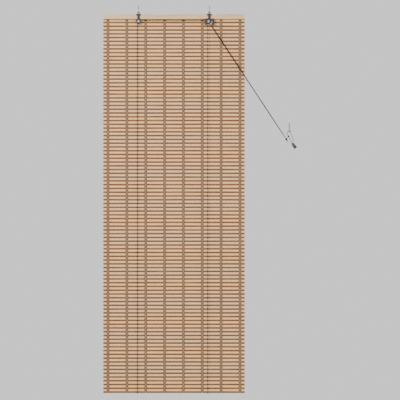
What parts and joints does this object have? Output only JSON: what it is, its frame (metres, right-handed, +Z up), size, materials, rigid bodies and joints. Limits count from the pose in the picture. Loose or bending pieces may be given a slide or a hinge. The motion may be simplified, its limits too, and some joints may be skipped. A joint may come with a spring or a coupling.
{
  "type": "bamboo roll up blind",
  "caption": "Hanging roll up blind of woven bamboo slats on a wooden head rail, with ceiling hooks, pulley, cord lock, lift cords, pull cord and wall hook.",
  "frame": {"origin": "midway between the two ceiling hooks, in the plane of the ceiling", "axes": "+Z up along the hanging sheet, +X along the head rail to the right, the front faces -Y"},
  "size_m": [0.8217, 0.0535, 1.6507],
  "materials": {
    "bamboo": "satin",
    "rail_wood": "satin",
    "black_metal": "satin",
    "bright_metal": "satin",
    "white_metal": "gloss",
    "black_plastic": "matte",
    "cord": "matte"
  },
  "bodies": {
    "rail_assembly": {"ceiling_hooks": "bright_metal", "cord_anchor_eyes": "bright_metal", "cord_lock_frame": "black_metal", "cord_tassel": "black_plastic", "frame_screws": "black_metal", "head_rail": "rail_wood", "hook_flanges": "white_metal", "left_lift_cord": "cord", "left_pull_strand": "cord", "left_pulley_frame": "black_metal", "link_cord": "cord", "lock_guide_post": "bright_metal", "loop_knot": "cord", "pull_knot": "cord", "rail_staples": "bright_metal", "right_lift_cord": "cord", "right_pull_strand": "cord", "sheave_rivets": "bright_metal", "slats_fixed": "bamboo", "tassel_loop_cord": "cord", "wall_hook": "bright_metal"},
    "slat_panel_01": {"slat_panel_01": "bamboo"},
    "slat_panel_02": {"slat_panel_02": "bamboo"},
    "slat_panel_03": {"slat_panel_03": "bamboo"},
    "slat_panel_04": {"slat_panel_04": "bamboo"},
    "slat_panel_05": {"slat_panel_05": "bamboo"},
    "slat_panel_06": {"slat_panel_06": "bamboo"},
    "slat_panel_07": {"slat_panel_07": "bamboo"},
    "slat_panel_08": {"slat_panel_08": "bamboo"},
    "slat_panel_09": {"slat_panel_09": "bamboo"},
    "slat_panel_10": {"slat_panel_10": "bamboo"},
    "slat_panel_11": {"slat_panel_11": "bamboo"},
    "slat_panel_12": {"slat_panel_12": "bamboo"},
    "slat_panel_13": {"slat_panel_13": "bamboo"},
    "slat_panel_14": {"slat_panel_14": "bamboo"},
    "slat_panel_15": {"slat_panel_15": "bamboo"},
    "slat_panel_16": {"slat_panel_16": "bamboo"},
    "slat_panel_17": {"slat_panel_17": "bamboo"},
    "slat_panel_18": {"slat_panel_18": "bamboo"},
    "slat_panel_19": {"slat_panel_19": "bamboo"},
    "slat_panel_20": {"slat_panel_20": "bamboo"},
    "slat_panel_21": {"slat_panel_21": "bamboo"},
    "slat_panel_22": {"slat_panel_22": "bamboo"},
    "slat_panel_23": {"slat_panel_23": "bamboo"},
    "slat_panel_24": {"slat_panel_24": "bamboo"},
    "slat_panel_25": {"slat_panel_25": "bamboo"},
    "slat_panel_26": {"slat_panel_26": "bamboo"},
    "slat_panel_27": {"slat_panel_27": "bamboo"},
    "slat_panel_28": {"slat_panel_28": "bamboo"},
    "slat_panel_29": {"slat_panel_29": "bamboo"},
    "slat_panel_30": {"slat_panel_30": "bamboo"},
    "slat_panel_31": {"slat_panel_31": "bamboo"},
    "left_sheave": {"left_sheave": "bright_metal"},
    "lock_sheave": {"lock_sheave": "bright_metal"},
    "lock_roller": {"lock_roller": "bright_metal"}
  },
  "joints": [
    {"name": "fold_01", "type": "hinge", "parent": "rail_assembly", "child": "slat_panel_01", "pos_m": [0, 0.00925, -0.1589], "axis": [-1, 0, 0], "range_deg": [0, 85], "deforming": ["left_lift_cord", "right_lift_cord", "left_pull_strand", "right_pull_strand"]},
    {"name": "fold_02", "type": "hinge", "parent": "slat_panel_01", "child": "slat_panel_02", "pos_m": [0, 0.00925, -0.2389], "axis": [-1, 0, 0], "range_deg": [0, 92]},
    {"name": "fold_03", "type": "hinge", "parent": "slat_panel_02", "child": "slat_panel_03", "pos_m": [0, 0.00925, -0.3109], "axis": [-1, 0, 0], "range_deg": [0, 91.5]},
    {"name": "fold_04", "type": "hinge", "parent": "slat_panel_03", "child": "slat_panel_04", "pos_m": [0, 0.00925, -0.3909], "axis": [-1, 0, 0], "range_deg": [0, 92.5]},
    {"name": "fold_05", "type": "hinge", "parent": "slat_panel_04", "child": "slat_panel_05", "pos_m": [0, 0.00925, -0.4549], "axis": [-1, 0, 0], "range_deg": [0, 84.75]},
    {"name": "fold_06", "type": "hinge", "parent": "slat_panel_05", "child": "slat_panel_06", "pos_m": [0, 0.00925, -0.5269], "axis": [-1, 0, 0], "range_deg": [0, 91.75]},
    {"name": "fold_07", "type": "hinge", "parent": "slat_panel_06", "child": "slat_panel_07", "pos_m": [0, 0.00925, -0.5909], "axis": [-1, 0, 0], "range_deg": [0, 92]},
    {"name": "fold_08", "type": "hinge", "parent": "slat_panel_07", "child": "slat_panel_08", "pos_m": [0, 0.00925, -0.6629], "axis": [-1, 0, 0], "range_deg": [0, 92.5]},
    {"name": "fold_09", "type": "hinge", "parent": "slat_panel_08", "child": "slat_panel_09", "pos_m": [0, 0.00925, -0.7189], "axis": [-1, 0, 0], "range_deg": [0, 84.25]},
    {"name": "fold_10", "type": "hinge", "parent": "slat_panel_09", "child": "slat_panel_10", "pos_m": [0, 0.00925, -0.7829], "axis": [-1, 0, 0], "range_deg": [0, 91.75]},
    {"name": "fold_11", "type": "hinge", "parent": "slat_panel_10", "child": "slat_panel_11", "pos_m": [0, 0.00925, -0.8389], "axis": [-1, 0, 0], "range_deg": [0, 92.5]},
    {"name": "fold_12", "type": "hinge", "parent": "slat_panel_11", "child": "slat_panel_12", "pos_m": [0, 0.00925, -0.9029], "axis": [-1, 0, 0], "range_deg": [0, 92.75]},
    {"name": "fold_13", "type": "hinge", "parent": "slat_panel_12", "child": "slat_panel_13", "pos_m": [0, 0.00925, -0.9509], "axis": [-1, 0, 0], "range_deg": [0, 83.5]},
    {"name": "fold_14", "type": "hinge", "parent": "slat_panel_13", "child": "slat_panel_14", "pos_m": [0, 0.00925, -1.0069], "axis": [-1, 0, 0], "range_deg": [0, 92]},
    {"name": "fold_15", "type": "hinge", "parent": "slat_panel_14", "child": "slat_panel_15", "pos_m": [0, 0.00925, -1.0549], "axis": [-1, 0, 0], "range_deg": [0, 93]},
    {"name": "fold_16", "type": "hinge", "parent": "slat_panel_15", "child": "slat_panel_16", "pos_m": [0, 0.00925, -1.1109], "axis": [-1, 0, 0], "range_deg": [0, 93.25]},
    {"name": "fold_17", "type": "hinge", "parent": "slat_panel_16", "child": "slat_panel_17", "pos_m": [0, 0.00925, -1.1509], "axis": [-1, 0, 0], "range_deg": [0, 82.5]},
    {"name": "fold_18", "type": "hinge", "parent": "slat_panel_17", "child": "slat_panel_18", "pos_m": [0, 0.00925, -1.1989], "axis": [-1, 0, 0], "range_deg": [0, 92]},
    {"name": "fold_19", "type": "hinge", "parent": "slat_panel_18", "child": "slat_panel_19", "pos_m": [0, 0.00925, -1.2389], "axis": [-1, 0, 0], "range_deg": [0, 94]},
    {"name": "fold_20", "type": "hinge", "parent": "slat_panel_19", "child": "slat_panel_20", "pos_m": [0, 0.00925, -1.2869], "axis": [-1, 0, 0], "range_deg": [0, 94]},
    {"name": "fold_21", "type": "hinge", "parent": "slat_panel_20", "child": "slat_panel_21", "pos_m": [0, 0.00925, -1.3189], "axis": [-1, 0, 0], "range_deg": [0, 81]},
    {"name": "fold_22", "type": "hinge", "parent": "slat_panel_21", "child": "slat_panel_22", "pos_m": [0, 0.00925, -1.3589], "axis": [-1, 0, 0], "range_deg": [0, 92]},
    {"name": "fold_23", "type": "hinge", "parent": "slat_panel_22", "child": "slat_panel_23", "pos_m": [0, 0.00925, -1.3909], "axis": [-1, 0, 0], "range_deg": [0, 95.25]},
    {"name": "fold_24", "type": "hinge", "parent": "slat_panel_23", "child": "slat_panel_24", "pos_m": [0, 0.00925, -1.4309], "axis": [-1, 0, 0], "range_deg": [0, 95.25]},
    {"name": "fold_25", "type": "hinge", "parent": "slat_panel_24", "child": "slat_panel_25", "pos_m": [0, 0.00925, -1.4549], "axis": [-1, 0, 0], "range_deg": [0, 78.5]},
    {"name": "fold_26", "type": "hinge", "parent": "slat_panel_25", "child": "slat_panel_26", "pos_m": [0, 0.00925, -1.4869], "axis": [-1, 0, 0], "range_deg": [0, 91.75]},
    {"name": "fold_27", "type": "hinge", "parent": "slat_panel_26", "child": "slat_panel_27", "pos_m": [0, 0.00925, -1.5109], "axis": [-1, 0, 0], "range_deg": [0, 97.75]},
    {"name": "fold_28", "type": "hinge", "parent": "slat_panel_27", "child": "slat_panel_28", "pos_m": [0, 0.00925, -1.5429], "axis": [-1, 0, 0], "range_deg": [0, 98]},
    {"name": "fold_29", "type": "hinge", "parent": "slat_panel_28", "child": "slat_panel_29", "pos_m": [0, 0.00925, -1.5589], "axis": [-1, 0, 0], "range_deg": [0, 73.5]},
    {"name": "fold_30", "type": "hinge", "parent": "slat_panel_29", "child": "slat_panel_30", "pos_m": [0, 0.00925, -1.5829], "axis": [-1, 0, 0], "range_deg": [0, 100]},
    {"name": "fold_31", "type": "hinge", "parent": "slat_panel_30", "child": "slat_panel_31", "pos_m": [0, 0.00925, -1.5989], "axis": [-1, 0, 0], "range_deg": [0, 100]},
    {"name": "left_sheave_spin", "type": "hinge", "parent": "rail_assembly", "child": "left_sheave", "pos_m": [-0.15, 0, -0.047], "axis": [0, 1, 0], "continuous": true},
    {"name": "lock_sheave_spin", "type": "hinge", "parent": "rail_assembly", "child": "lock_sheave", "pos_m": [0.1485, 0, -0.047], "axis": [0, 1, 0], "continuous": true},
    {"name": "lock_roller_slide", "type": "slide", "parent": "rail_assembly", "child": "lock_roller", "axis": [-0.5, 0, -0.866], "range_m": [0, 0.003]}
  ]
}
